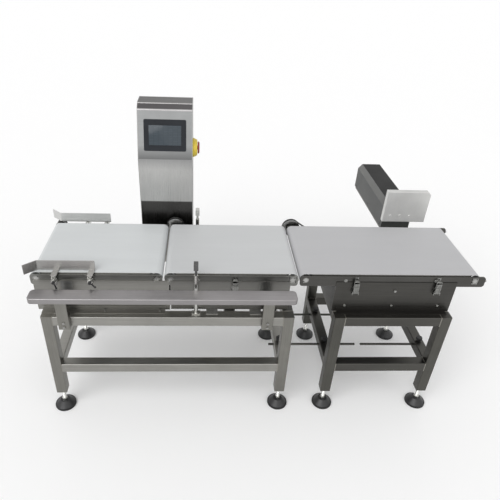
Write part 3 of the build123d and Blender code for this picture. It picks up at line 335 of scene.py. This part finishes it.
# Second finishes on one node: the outfeed stand's tubes get darker copies of the steel, painted shade on
# that stand
outfeedStart = place(1300, 0, 0).x
weighStart = place(600, 0, 0).x
padTop = 0.037
secondFinish("stand_legs", "outfeedShadedLegSteel", lambda centre, normal: centre.x > outfeedStart)
# The outfeed stand's rails get the darker steel: painted shade
secondFinish("stand_rails", "darkSteel", lambda centre, normal: centre.x > outfeedStart)
for number in range(1, 9):
    secondFinish(f"levelling_foot_{number}", "brightSteel", lambda centre, normal: centre.z > padTop)
# The pusher guard's top gets painted shade and its chamfer painted light, as copies of its paint
secondFinish("pusher_guard", "guardTopShaded", lambda centre, normal: normal.z > 0.95)
secondFinish("pusher_guard", "guardChamferLit", lambda centre, normal: normal.x < -0.3 and normal.z > 0.3)
# The weigh section's plugs get a darker copy: painted shade
secondFinish("blanking_plugs", "weighShadedPlug", lambda centre, normal: centre.x > weighStart)

# The cabinet's head is told apart by how far each face looks up; panel, brow and lid get lit and shaded
# copies of one steel, painted light and shade by face direction
headLow = 1.1135
headShadeFaces = {"panelShadedSteel": (0.2, 0.45), "browShadedSteel": (0.45, 0.9), "lidShadedSteel": (0.9, 1.1)}
for finish, (least, most) in headShadeFaces.items():
    secondFinish("cabinet_wrap", finish, lambda centre, normal:
                 centre.z > headLow and least <= normal.z < most)
print("materials on", len(cadNodes), "frame nodes")


# Mesh helpers

def finishPiece(mesh, name, body, finish, smooth=None):
    bmesh.ops.recalc_face_normals(mesh, faces=mesh.faces)
    data = bpy.data.meshes.new(name)
    mesh.to_mesh(data)
    mesh.free()
    piece = bpy.data.objects.new(name, data)
    bpy.context.scene.collection.objects.link(piece)
    data.materials.append(finishes[finish])
    if smooth is not None:
        for face in data.polygons:
            face.use_smooth = True
        data.set_sharp_from_angle(angle=math.radians(smooth))
    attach(piece, body)
    return piece


def turnTo(axis):
    return Vector(axis).normalized().to_track_quat("Z", "Y").to_matrix().to_4x4()


def addRod(mesh, start, end, radius, sides=20):
    middle = (start + end) / 2
    span = end - start
    bmesh.ops.create_cone(mesh, cap_ends=True, segments=sides, radius1=metres(radius),
                          radius2=metres(radius), depth=span.length,
                          matrix=Matrix.Translation(middle) @ turnTo(span))


def addBlock(mesh, centre, size, rounding=0.0, turn=None):
    scale = Matrix.Diagonal((*[metres(value) for value in size], 1))
    placed = Matrix.Translation(centre) @ (turn or Matrix.Identity(4)) @ scale
    made = bmesh.ops.create_cube(mesh, size=1, matrix=placed)
    if rounding:
        edges = dict.fromkeys(edge for corner in made["verts"] for edge in corner.link_edges)
        bmesh.ops.bevel(mesh, geom=list(edges), offset=metres(rounding), segments=3, profile=0.5,
                        affect="EDGES", material=-1)


def addSocketHead(mesh, centre, axis, radius, height, socket=0.5):
    matrix = Matrix.Translation(centre) @ turnTo(axis)
    made = bmesh.ops.create_circle(mesh, cap_ends=True, segments=24, radius=metres(radius), matrix=matrix)
    base = made["verts"][0].link_faces[0]
    raised = bmesh.ops.extrude_face_region(mesh, geom=[base])
    top = [item for item in raised["geom"] if isinstance(item, bmesh.types.BMFace)][0]
    up = Vector(axis).normalized() * metres(height)
    bmesh.ops.translate(mesh, vec=up, verts=top.verts)
    bmesh.ops.inset_region(mesh, faces=[top], thickness=metres(radius * 0.12), depth=metres(height * 0.12))
    bmesh.ops.inset_region(mesh, faces=[top], thickness=metres(radius * (0.88 - socket)), depth=0)
    sunk = bmesh.ops.extrude_face_region(mesh, geom=[top])
    floor = [item for item in sunk["geom"] if isinstance(item, bmesh.types.BMFace)][0]
    bmesh.ops.translate(mesh, vec=-up * 0.6, verts=floor.verts)
    bmesh.ops.delete(mesh, geom=[top], context="FACES_ONLY")


def addDisc(mesh, centre, axis, radius, height, sides=28, edge=0.25):
    way = Vector(axis).normalized()
    middle = centre + way * metres(height / 2)
    made = bmesh.ops.create_cone(mesh, cap_ends=True, segments=sides, radius1=metres(radius),
                                 radius2=metres(radius), depth=metres(height),
                                 matrix=Matrix.Translation(middle) @ turnTo(way))
    edges = dict.fromkeys(item for corner in made["verts"] for item in corner.link_edges)
    rims = [item for item in edges if any(abs(face.normal.dot(way)) > 0.9 for face in item.link_faces)]
    bmesh.ops.bevel(mesh, geom=rims, offset=metres(edge), segments=2, profile=0.5,
                    affect="EDGES", material=-1)


def addThread(mesh, base, top, core, crest, pitch, sides=24):
    way = (top - base).normalized()
    step = metres(pitch / 2)
    turns = int((top - base).length / step)
    for index in range(turns):
        lower, upper = (crest, core) if index % 2 else (core, crest)
        middle = base + way * step * (index + 0.5)
        bmesh.ops.create_cone(mesh, cap_ends=False, segments=sides, radius1=metres(lower),
                              radius2=metres(upper), depth=step,
                              matrix=Matrix.Translation(middle) @ turnTo(way))


def addBead(mesh, corners, radius):
    for first, second in zip(corners, corners[1:] + corners[:1]):
        addRod(mesh, first, second, radius, 10)


print("helpers ready")


# Weld beads where the rails meet the legs
weldSet = {"tube": 50, "corner": 1.2, "radius": 2.2, "rail": 566, "stretcher": 275, "half": 285}
standSpans = {"left": (32, 1162), "right": (1347, 1895)}
tubeHalf = weldSet["tube"] / 2


def squareAround(centre, first, second, half):
    corners = ((half, half), (half, -half), (-half, -half), (-half, half))
    return [centre + first * a + second * b for a, b in corners]


beads = bmesh.new()
beadHalf = metres(tubeHalf - weldSet["corner"])
alongLine, acrossLine, upward = Vector((1, 0, 0)), Vector((0, 1, 0)), Vector((0, 0, 1))
for near, far in standSpans.values():
    for height in (weldSet["rail"], weldSet["stretcher"]):
        for side in (-1, 1):
            for x in (near + weldSet["tube"], far - weldSet["tube"]):  # long rails into the legs
                centre = place(x, side * (weldSet["half"] - tubeHalf), height)
                addBead(beads, squareAround(centre, acrossLine, upward, beadHalf), weldSet["radius"])
            for x in (near + tubeHalf, far - tubeHalf):  # cross rails into the legs
                centre = place(x, side * (weldSet["half"] - weldSet["tube"]), height)
                addBead(beads, squareAround(centre, alongLine, upward, beadHalf), weldSet["radius"])
finishPiece(beads, "weldBeads", "machine", "weldMetal", 60)
print("weld beads done")


# Threads and washers of the levelling feet, and the ribs of their pads
footSet = {"core": 7.9, "crest": 8.7, "pitch": 2.2, "low": 49, "high": 95, "washer": (12, 2.2),
           "ribs": 3, "ribRadius": 50.6, "ribHeight": 1.1, "ribLow": 2.5, "ribStep": 2.4}
footLine = weldSet["half"] - tubeHalf
footSpots = [(x, y) for near, far in standSpans.values() for x in (near + tubeHalf, far - tubeHalf)
             for y in (-footLine, footLine)]
for number, (x, y) in enumerate(footSpots, start=1):
    foot = bmesh.new()
    addThread(foot, place(x, y, footSet["low"]), place(x, y, footSet["high"]),
              footSet["core"], footSet["crest"], footSet["pitch"])
    addDisc(foot, place(x, y, footSet["low"]), (0, 0, 1), *footSet["washer"])
    finishPiece(foot, f"footThread{number}", f"foot_{number}", "brightSteel", 30)
    pad = bmesh.new()
    for step in range(footSet["ribs"]):
        ring = place(x, y, footSet["ribLow"] + footSet["ribStep"] * step)
        bmesh.ops.create_cone(pad, cap_ends=True, segments=64, radius1=metres(footSet["ribRadius"]),
                              radius2=metres(footSet["ribRadius"]), depth=metres(footSet["ribHeight"]),
                              matrix=Matrix.Translation(ring))
    finishPiece(pad, f"footRibs{number}", f"foot_{number}", "blackRubber", 30)
print("feet done")


# Screws of the outfeed base's front sheet, and washered ones on the side plates
screwSet = {"face": [(1396, 622), (1616, 622), (1834, 622), (1616, 704)], "faceLine": -232.01,
            "faceHead": (5.4, 2.2), "plate": [(724, 758), (1382, 758), (1795, 758)], "plateLine": -225,
            "washer": (8, 1.2), "plateHead": (6, 4)}
screws = bmesh.new()
for x, z in screwSet["face"]:
    addSocketHead(screws, place(x, screwSet["faceLine"], z), (0, -1, 0), *screwSet["faceHead"])
for x, z in screwSet["plate"]:
    addDisc(screws, place(x, screwSet["plateLine"], z), (0, -1, 0), *screwSet["washer"])
    headLine = screwSet["plateLine"] - screwSet["washer"][1]
    addSocketHead(screws, place(x, headLine, z), (0, -1, 0), *screwSet["plateHead"])
finishPiece(screws, "faceScrews", "machine", "fittingSteel", 35)


# Two small screws on each bearing flange, front and rear
ringSet = {"drive": (27, 603, 1202), "tail": (543, 1142, 1975), "height": 758.0, "face": 227.5,
           "turns": (45, 225), "circle": 12.8, "head": (2.3, 1.4)}
rings = bmesh.new()
for x in ringSet["drive"] + ringSet["tail"]:
    for side in (-1, 1):
        spot = place(x, side * ringSet["face"], ringSet["height"])
        for turn in ringSet["turns"]:
            way = Vector((math.cos(math.radians(turn)), 0, math.sin(math.radians(turn))))
            addSocketHead(rings, spot + way * metres(ringSet["circle"]), (0, side, 0), *ringSet["head"])
finishPiece(rings, "bearingScrews", "machine", "fittingSteel", 35)
print("screws done")


# Latches: rivets on the base, two stiffening ribs and a rolled grip on each lever
latchSet = {"spots": (888, 1430, 1805), "pivot": 700, "line": -230, "rivet": (2.4, 1.2),
            "rivetRises": (-6, 21), "rivetShift": 9, "rib": (2.0, 2.2, 46), "ribShift": 8.5,
            "ribLine": -244.8, "ribHeight": 724, "grip": 1.9, "gripHalf": 11, "gripLine": -243.6,
            "gripHeight": 749}
rivets = bmesh.new()
for x in latchSet["spots"]:
    for rise in latchSet["rivetRises"]:
        for side in (-1, 1):
            spot = place(x + side * latchSet["rivetShift"], latchSet["line"], latchSet["pivot"] + rise)
            addDisc(rivets, spot, (0, -1, 0), *latchSet["rivet"], 16)
finishPiece(rivets, "latchRivets", "machine", "fittingSteel", 35)
for number, x in enumerate(latchSet["spots"], start=1):
    lever = bmesh.new()
    for side in (-1, 1):
        spot = place(x + side * latchSet["ribShift"], latchSet["ribLine"], latchSet["ribHeight"])
        addBlock(lever, spot, latchSet["rib"], 0.6)
    ends = [place(x + side * latchSet["gripHalf"], latchSet["gripLine"], latchSet["gripHeight"])
            for side in (-1, 1)]
    addRod(lever, *ends, latchSet["grip"], 16)
    finishPiece(lever, f"latchRib{number}", f"latch_{number}", "fittingSteel", 35)
print("latches done")


# Push plate: rod screws, and the guard's fixing screws
pushSet = {"rods": (1714, 1764, 1814), "height": 840, "line": 238, "head": (5, 1.6),
           "guardDepths": (300, 530, 770), "guardSides": ((1689, -1), (1839, 1)),
           "guardHeight": 762, "guardHead": (4, 2)}
pushScrews = bmesh.new()
for x in pushSet["rods"]:
    addSocketHead(pushScrews, place(x, pushSet["line"], pushSet["height"]), (0, -1, 0), *pushSet["head"])
finishPiece(pushScrews, "pushPlateScrews", "pusher_head", "dullScrew", 35)
guardScrews = bmesh.new()
for y in pushSet["guardDepths"]:
    for x, side in pushSet["guardSides"]:
        addSocketHead(guardScrews, place(x, y, pushSet["guardHeight"]), (side, 0, 0), *pushSet["guardHead"])
finishPiece(guardScrews, "guardScrews", "machine", "dullScrew", 35)
print("pusher details done")


# Touch screen: glass with its picture, and a raised lip round it
screenSet = {"tilt": 18, "foot": (560, 265, 1113), "rise": 112, "face": 4.1, "gap": 0.3,
             "glass": (153.6, 91.6, 0.8), "lip": 2.2, "lipThick": 1.4, "lipFace": 5,
             "lipLong": 157.6, "lipShort": 93.4, "lipHigh": 47.6, "lipWide": 78.2}
tilt = math.radians(screenSet["tilt"])
panelUp = Vector((0, math.sin(tilt), math.cos(tilt)))
panelOut = Vector((0, -math.cos(tilt), math.sin(tilt)))
panelTurn = Matrix((Vector((1, 0, 0)), panelUp, panelOut)).transposed().to_4x4()
screenCentre = place(*screenSet["foot"]) + panelUp * metres(screenSet["rise"])
glass = bmesh.new()
glassCentre = screenCentre + panelOut * metres(screenSet["face"] + screenSet["gap"])
addBlock(glass, glassCentre, screenSet["glass"], 0.2, panelTurn)
finishPiece(glass, "screenGlass", "machine", "screenPicture", 35)
lip = bmesh.new()
lipCentre = screenCentre + panelOut * metres(screenSet["lipFace"])
for side in (-1, 1):
    addBlock(lip, lipCentre + panelUp * metres(side * screenSet["lipHigh"]),
             (screenSet["lipLong"], screenSet["lip"], screenSet["lipThick"]), 0.5, panelTurn)
    addBlock(lip, lipCentre + Vector((metres(side * screenSet["lipWide"]), 0, 0)),
             (screenSet["lip"], screenSet["lipShort"], screenSet["lipThick"]), 0.5, panelTurn)
finishPiece(lip, "screenLip", "machine", "bezelPlastic", 35)
print("screen done")


# Emergency stop: grip flutes on the button, a turned housing and its screws
stopSet = {"face": 690.5, "depth": 345, "height": 1146, "flutes": 14, "fluteFace": 24.2,
           "fluteCircle": 27, "fluteRadius": 2.1, "fluteLength": 5.5, "screws": 4, "screwFace": 7,
           "screwCircle": 35, "screwHead": (3.4, 1.6),
           "profile": [(7, 31), (7, 44), (10, 44), (21, 38), (22, 37), (22, 32), (21, 31)]}


def stopSpot(out, circle, angle):
    return place(stopSet["face"] + out, stopSet["depth"] + circle * math.cos(angle),
                 stopSet["height"] + circle * math.sin(angle))


flutes = bmesh.new()
for index in range(stopSet["flutes"]):
    spot = stopSpot(stopSet["fluteFace"], stopSet["fluteCircle"], 2 * math.pi * index / stopSet["flutes"])
    end = spot + Vector((metres(stopSet["fluteLength"]), 0, 0))
    addRod(flutes, spot, end, stopSet["fluteRadius"], 12)
finishPiece(flutes, "stopFlutes", "e_stop_button", "stopRed", 40)
housing = bmesh.new()
stopCentre = place(stopSet["face"], stopSet["depth"], stopSet["height"])
rim = [housing.verts.new(stopCentre + Vector((metres(out), metres(radius), 0)))
       for out, radius in stopSet["profile"]]
for first, second in zip(rim, rim[1:] + rim[:1]):
    housing.edges.new((first, second))
bmesh.ops.spin(housing, geom=housing.verts[:] + housing.edges[:], cent=stopCentre, axis=(1, 0, 0),
               angle=2 * math.pi, steps=48, use_merge=True)
finishPiece(housing, "stopHousing", "machine", "stopYellow", 30)
stopScrews = bmesh.new()
for index in range(stopSet["screws"]):
    spot = stopSpot(stopSet["screwFace"], stopSet["screwCircle"], math.pi / 4 + math.pi / 2 * index)
    addSocketHead(stopScrews, spot, (1, 0, 0), *stopSet["screwHead"])
finishPiece(stopScrews, "stopScrews", "machine", "brightSteel", 35)
print("emergency stop done")


# Guide clamps: washers and pinch bolts, and the locking levers of the front ones
clampSet = {"front": (112, 264), "rear": (160, 255), "face": 249, "middle": 765,
            "washer": (8.5, 1.5), "pinchHeight": 756, "pinchShift": 8, "pinchHead": (2.6, 2)}
clamps = bmesh.new()
for side, spots in ((-1, clampSet["front"]), (1, clampSet["rear"])):
    for x in spots:
        line = side * clampSet["face"]
        addDisc(clamps, place(x, line, clampSet["middle"]), (0, side, 0), *clampSet["washer"])
        for shift in (-clampSet["pinchShift"], clampSet["pinchShift"]):
            spot = place(x + shift, line, clampSet["pinchHeight"])
            addSocketHead(clamps, spot, (0, side, 0), *clampSet["pinchHead"])
finishPiece(clamps, "clampScrews", "machine", "brightSteel", 35)
leverSet = {"leans": (0.25, 0.7), "line": -264, "hub": 7, "hubBack": 2, "hubFront": 6,
            "arm": 3.2, "reach": 30, "knob": 5, "knobReach": 31}
levers = bmesh.new()
for x, lean in zip(clampSet["front"], leverSet["leans"]):
    hub = place(x, leverSet["line"], clampSet["middle"])
    armWay = Vector((math.sin(lean), 0, -math.cos(lean)))
    addRod(levers, hub + Vector((0, metres(leverSet["hubBack"]), 0)),
           hub + Vector((0, -metres(leverSet["hubFront"]), 0)), leverSet["hub"], 24)
    addRod(levers, hub, hub + armWay * metres(leverSet["reach"]), leverSet["arm"], 16)
    knobSpot = Matrix.Translation(hub + armWay * metres(leverSet["knobReach"]))
    bmesh.ops.create_uvsphere(levers, u_segments=20, v_segments=12, radius=metres(leverSet["knob"]),
                              matrix=knobSpot)
finishPiece(levers, "clampLevers", "machine", "blackPlastic", 40)
print("clamps done")


# Motors: cooling rings round each body
motorSet = {"spots": (93, 669, 1392), "height": 655, "line": 211, "pitch": 9, "rings": 5, "ring": (41, 3)}
motors = bmesh.new()
for x in motorSet["spots"]:
    for index in range(motorSet["rings"]):
        spot = place(x, motorSet["line"] - motorSet["pitch"] * index, motorSet["height"])
        addDisc(motors, spot, (0, -1, 0), *motorSet["ring"], 48)
finishPiece(motors, "motorRings", "machine", "motorPaint", 35)
print("motors done")


# Cabinet: gasket beads beside the rear door, and the heads of its hinge pins
doorSet = {"left": 433, "right": 687, "low": 606, "high": 1342, "line": 465.3, "bead": 1.0}
gasket = bmesh.new()
for x in (doorSet["left"], doorSet["right"]):
    addRod(gasket, place(x, doorSet["line"], doorSet["low"]), place(x, doorSet["line"], doorSet["high"]),
           doorSet["bead"], 10)
finishPiece(gasket, "doorGasket", "machine", "blackRubber", 40)
hingeSet = {"axis": (423, 467), "heights": (700, 1250), "half": 25, "head": (4, 2)}
pins = bmesh.new()
for height in hingeSet["heights"]:
    for end in (-1, 1):
        spot = place(*hingeSet["axis"], height + end * hingeSet["half"])
        addDisc(pins, spot, (0, 0, end), *hingeSet["head"], 20)
finishPiece(pins, "hingePins", "machine", "brightSteel", 35)

# The head's two bends: rounded edges above the panel and under the lid, in a bright steel that is a painted
# highlight
bendSet = {"radius": 8, "panel": 228, "brow": 40, "browTilt": 50, "ends": (430.5, 689.5),
           "low": (34, 0.35), "high": (76, -0.26)}  # lean in degrees, and how far it stands proud
browTilt = math.radians(bendSet["browTilt"])
lowY = screenSet["foot"][1] + bendSet["panel"] * math.sin(tilt)
lowZ = screenSet["foot"][2] + bendSet["panel"] * math.cos(tilt)
highY = lowY + bendSet["brow"] * math.sin(browTilt)
highZ = lowZ + bendSet["brow"] * math.cos(browTilt)
bends = bmesh.new()
for y, z, (lean, proud) in ((lowY, lowZ, bendSet["low"]), (highY, highZ, bendSet["high"])):
    back = bendSet["radius"] - proud
    middleY = y + back * math.cos(math.radians(lean))
    middleZ = z - back * math.sin(math.radians(lean))
    ends = [place(x, middleY, middleZ) for x in bendSet["ends"]]
    addRod(bends, *ends, bendSet["radius"], 40)
finishPiece(bends, "headBends", "machine", "bendHighlightSteel", 30)
print("cabinet details done")


# Camera, light and floor
cameraSet = {"place": (741.3, -1966.9, 2017.0), "turn": (0.988882, -0.0379, -0.040316),
             "lens": 35.21, "shift": (0.0424, 0.0171)}
cameraData = bpy.data.cameras.new("lineCamera")
cameraData.sensor_width = 36
cameraData.lens = cameraSet["lens"]
cameraData.shift_x, cameraData.shift_y = cameraSet["shift"]
camera = bpy.data.objects.new("lineCamera", cameraData)
camera.location = place(*cameraSet["place"])
camera.rotation_euler = cameraSet["turn"]
bpy.context.scene.collection.objects.link(camera)
bpy.context.scene.camera = camera
bpy.context.scene.view_settings.view_transform = "Standard"

# Two wide soft lights and a pale room; camera, glossy and clear rays see plain white
lights = {
    "key": {"strength": 1.5, "angle": 50, "turn": (38, -36, 0)},
    "side": {"strength": 0.45, "angle": 70, "turn": (55, 48, 0)},
}
for name, values in lights.items():
    lamp = bpy.data.lights.new(name + "Light", "SUN")
    lamp.energy = values["strength"]
    lamp.angle = math.radians(values["angle"])
    lampObject = bpy.data.objects.new(name + "Light", lamp)
    lampObject.rotation_euler = [math.radians(value) for value in values["turn"]]
    bpy.context.scene.collection.objects.link(lampObject)

world = bpy.data.worlds.new("studio")
bpy.context.scene.world = world
world.use_nodes = True
worldNodes, worldLinks = world.node_tree.nodes, world.node_tree.links
soft = worldNodes["Background"]
soft.inputs["Color"].default_value = (1, 1, 1, 1)
soft.inputs["Strength"].default_value = 0.64
shown = worldNodes.new("ShaderNodeBackground")
shown.inputs["Color"].default_value = (1, 1, 1, 1)
shown.inputs["Strength"].default_value = 1.0
rays = worldNodes.new("ShaderNodeLightPath")
glossy = worldNodes.new("ShaderNodeMath")
glossy.operation = "MAXIMUM"
clear = worldNodes.new("ShaderNodeMath")
clear.operation = "MAXIMUM"
picker = worldNodes.new("ShaderNodeMixShader")
worldLinks.new(rays.outputs["Is Camera Ray"], glossy.inputs[0])
worldLinks.new(rays.outputs["Is Glossy Ray"], glossy.inputs[1])
worldLinks.new(glossy.outputs["Value"], clear.inputs[0])
worldLinks.new(rays.outputs["Is Transmission Ray"], clear.inputs[1])
worldLinks.new(clear.outputs["Value"], picker.inputs[0])
worldLinks.new(soft.outputs["Background"], picker.inputs[1])
worldLinks.new(shown.outputs["Background"], picker.inputs[2])
worldLinks.new(picker.outputs["Shader"], worldNodes["World Output"].inputs["Surface"])

floorMesh = bmesh.new()
bmesh.ops.create_grid(floorMesh, x_segments=1, y_segments=1, size=30)
floorData = bpy.data.meshes.new("floor")
floorMesh.to_mesh(floorData)
floorMesh.free()
floor = bpy.data.objects.new("floor", floorData)
floorPaint = startMaterial("floorPaint", (0.99, 0.99, 0.99), 0.0, 0.9)[0]
floorData.materials.append(floorPaint)
bpy.context.scene.collection.objects.link(floor)
print("camera, light and floor ready")
